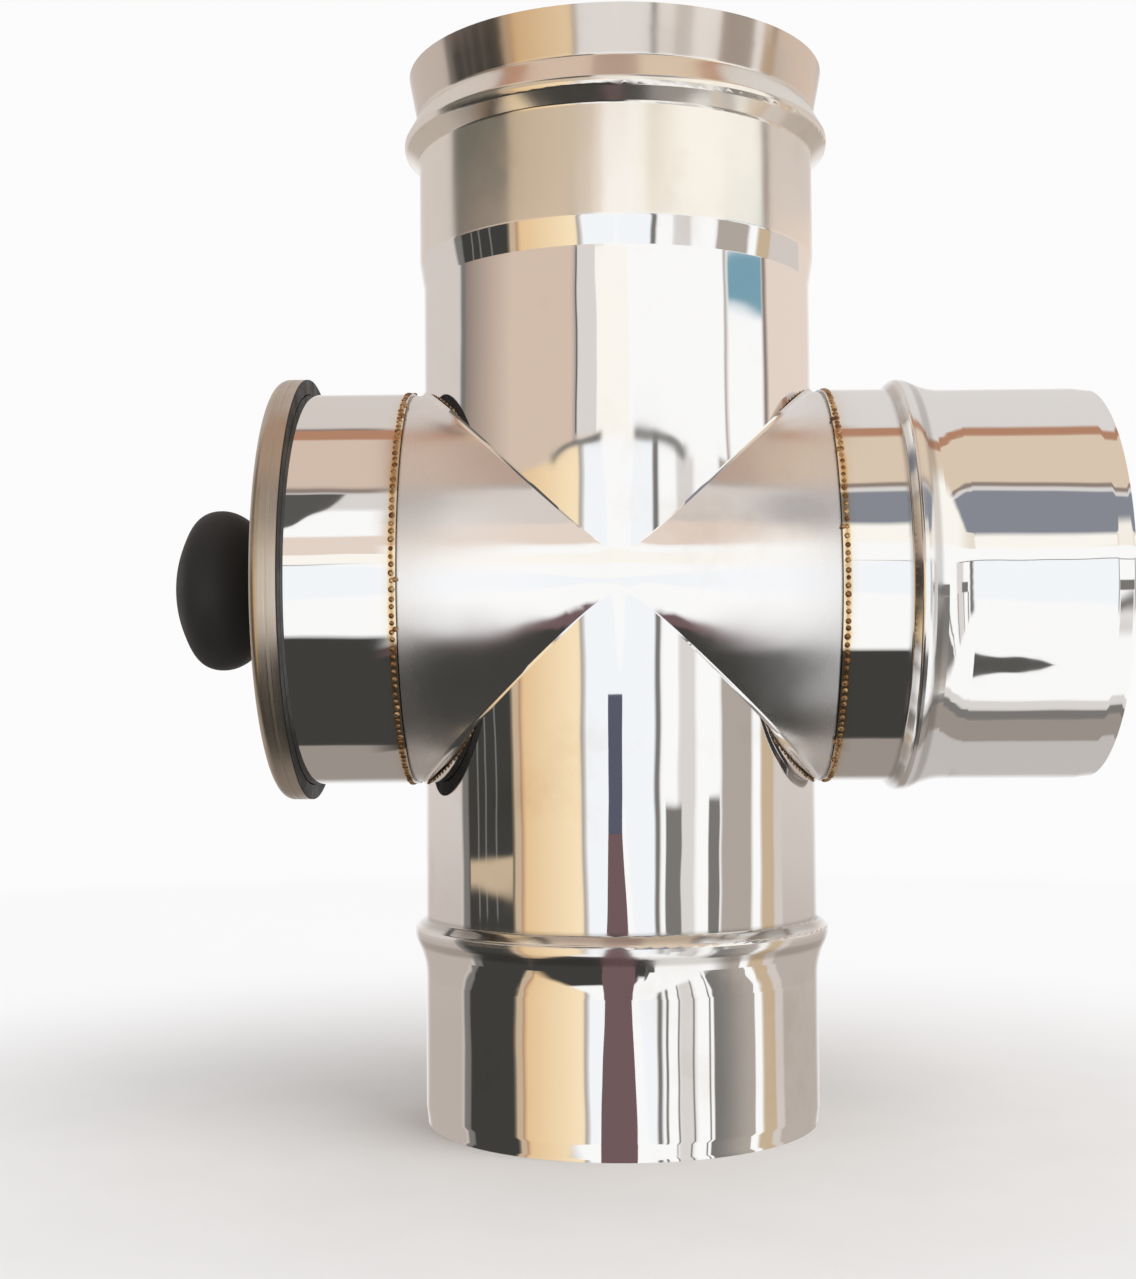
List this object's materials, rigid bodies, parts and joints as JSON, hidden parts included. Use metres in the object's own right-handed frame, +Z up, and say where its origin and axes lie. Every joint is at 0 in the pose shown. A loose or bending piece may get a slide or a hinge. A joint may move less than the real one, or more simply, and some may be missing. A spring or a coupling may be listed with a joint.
{
  "type": "flue tee",
  "caption": "Stainless flue tee: upright pipe with a socket on top and a spigot below, a side branch spigot, and an opposite inspection neck with a pull-off knobbed cap.",
  "frame": {"origin": "centre of the lower spigot's open end, which the tee stands on", "axes": "+Z up along the run towards the socket, +X along the branch, -X towards the inspection cap"},
  "size_m": [0.236, 0.111, 0.2714],
  "materials": {
    "pipe_steel": "bright",
    "lid_steel": "brushed",
    "seal_rubber": "matte",
    "knob_plastic": "satin",
    "insert_brass": "turned",
    "fixing_steel": "plain"
  },
  "bodies": {
    "tee": {"tee_body": "pipe_steel", "branch_spigot": "pipe_steel", "inspection_neck": "pipe_steel", "socket_seal": "seal_rubber"},
    "cap": {"cap_lid": "lid_steel", "cap_gasket": "seal_rubber", "knob": "knob_plastic", "knob_insert": "insert_brass", "knob_screw": "fixing_steel", "knob_washer": "fixing_steel"}
  },
  "joints": [
    {"name": "cap_pull", "type": "slide", "parent": "tee", "child": "cap", "axis": [-1, 0, 0], "range_m": [0, 0.08]}
  ]
}
